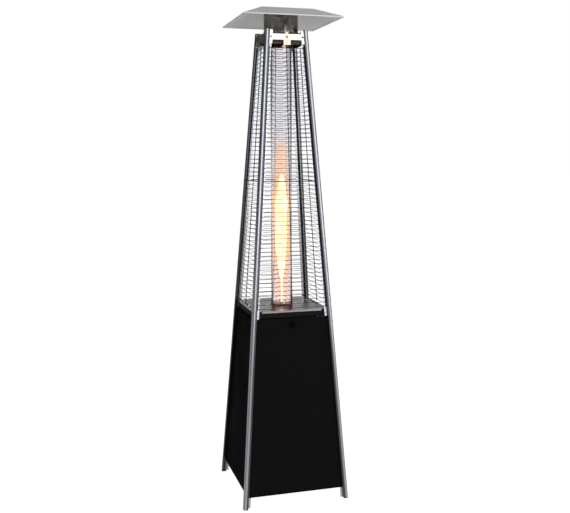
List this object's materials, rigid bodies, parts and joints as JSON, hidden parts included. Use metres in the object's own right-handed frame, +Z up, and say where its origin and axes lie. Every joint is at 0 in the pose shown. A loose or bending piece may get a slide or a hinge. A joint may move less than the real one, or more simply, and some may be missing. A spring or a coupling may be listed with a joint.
{
  "type": "outdoor heater",
  "caption": "Tall pyramid gas patio heater: cabinet with a drop-down door, glass flame tube behind wire guards, and a square hood.",
  "frame": {"origin": "centre of the footprint on the floor", "axes": "+Z up, -Y is the door side, +X to the right seen from the door side"},
  "size_m": [0.51, 0.527, 2.2765],
  "materials": {
    "post_metal": "brushed, satin",
    "black_sheet": "black powder coat",
    "black_plastic": "moulded, matt",
    "zinc_steel": "zinc plated",
    "stainless": "satin stainless",
    "brass": "turned",
    "copper": "drawn copper",
    "red_plastic": "glossy",
    "white_ceramic": "glazed",
    "silicone": "silicone rubber",
    "tube_glass": "clear",
    "dark_steel": "heat darkened steel",
    "hood_sheet": "matt sheet",
    "guard_wire": "bright zinc wire"
  },
  "bodies": {
    "root": {"axle_caps": "zinc_steel", "base_tray": "black_sheet", "bottle_locating_ring": "black_sheet", "bracket_fasteners": "stainless", "burner_cup": "stainless", "burner_screen": "stainless", "control_box": "zinc_steel", "control_fascia": "black_sheet", "deck_plate": "stainless", "deck_support_band": "black_sheet", "flame_screen": "dark_steel", "frame_rivets": "zinc_steel", "gas_inlet_fitting": "brass", "gas_jet": "brass", "gas_supply_pipe": "copper", "glass_tube": "tube_glass", "guard_front": "guard_wire", "guard_left": "guard_wire", "guard_rear": "guard_wire", "guard_right": "guard_wire", "hood": "hood_sheet", "hood_bolts": "stainless", "igniter_body": "black_plastic", "igniter_wire": "silicone", "jet_bracket": "zinc_steel", "lower_post_front_left": "post_metal", "lower_post_front_right": "post_metal", "lower_post_rear_left": "post_metal", "lower_post_rear_right": "post_metal", "panel_screws": "black_sheet", "pilot_burner": "stainless", "pilot_pipe": "copper", "post_caps": "black_plastic", "post_joining_sleeves": "zinc_steel", "rear_panel": "black_sheet", "side_panel_left": "black_sheet", "side_panel_right": "black_sheet", "spark_electrode": "white_ceramic", "thermocouple": "copper", "tilt_switch_case": "black_plastic", "top_brackets": "stainless", "top_plate": "dark_steel", "tube_clips": "stainless", "tube_gasket": "silicone", "tube_locating_collar": "stainless", "tube_top_holder": "dark_steel", "upper_posts": "post_metal", "valve_body": "brass", "venturi_tube": "zinc_steel", "wheel_axle": "zinc_steel", "wheel_bracket": "zinc_steel"},
    "door": {"front_door": "black_sheet"},
    "door_lock": {"door_lock_knob": "black_plastic", "door_lock_cam": "zinc_steel"},
    "valve_spindle": {"valve_cone": "brass"},
    "gas_knob": {"control_knob": "black_plastic"},
    "igniter": {"igniter_button": "red_plastic"},
    "left_wheel": {"wheel_left": "black_plastic"},
    "right_wheel": {"wheel_right": "black_plastic"},
    "tilt_weight": {"tilt_switch_weight": "zinc_steel"}
  },
  "joints": [
    {"name": "door_tilt", "type": "hinge", "parent": "root", "child": "door", "pos_m": [0, -0.24112, 0.0545], "axis": [1, 0, 0], "range_deg": [0, 90]},
    {"name": "door_lock_turn", "type": "hinge", "parent": "door", "child": "door_lock", "pos_m": [0, -0.18585, 0.84], "axis": [0, -0.9975, 0.071], "range_deg": [0, 90]},
    {"name": "gas_valve_turn", "type": "hinge", "parent": "root", "child": "valve_spindle", "pos_m": [0.06, 0.18344, 0.824], "axis": [0, 0.9975, 0.071], "range_deg": [0, 180]},
    {"name": "gas_knob_push", "type": "slide", "parent": "valve_spindle", "child": "gas_knob", "axis": [0, -0.9975, -0.071], "range_m": [0, 0.004], "stiffness_N_per_m": 1500},
    {"name": "igniter_push", "type": "slide", "parent": "root", "child": "igniter", "axis": [0, -0.9975, -0.071], "range_m": [0, 0.006], "stiffness_N_per_m": 1200},
    {"name": "wheel_left_roll", "type": "hinge", "parent": "root", "child": "left_wheel", "pos_m": [-0.12, 0.247, 0.026], "axis": [1, 0, 0], "continuous": true},
    {"name": "wheel_right_roll", "type": "hinge", "parent": "root", "child": "right_wheel", "pos_m": [0.12, 0.247, 0.026], "axis": [1, 0, 0], "continuous": true},
    {"name": "tilt_weight_swing", "type": "hinge", "parent": "root", "child": "tilt_weight", "pos_m": [-0.095, -0.07, 0.89495], "axis": [0, 1, 0], "range_deg": [-15, 15]}
  ]
}
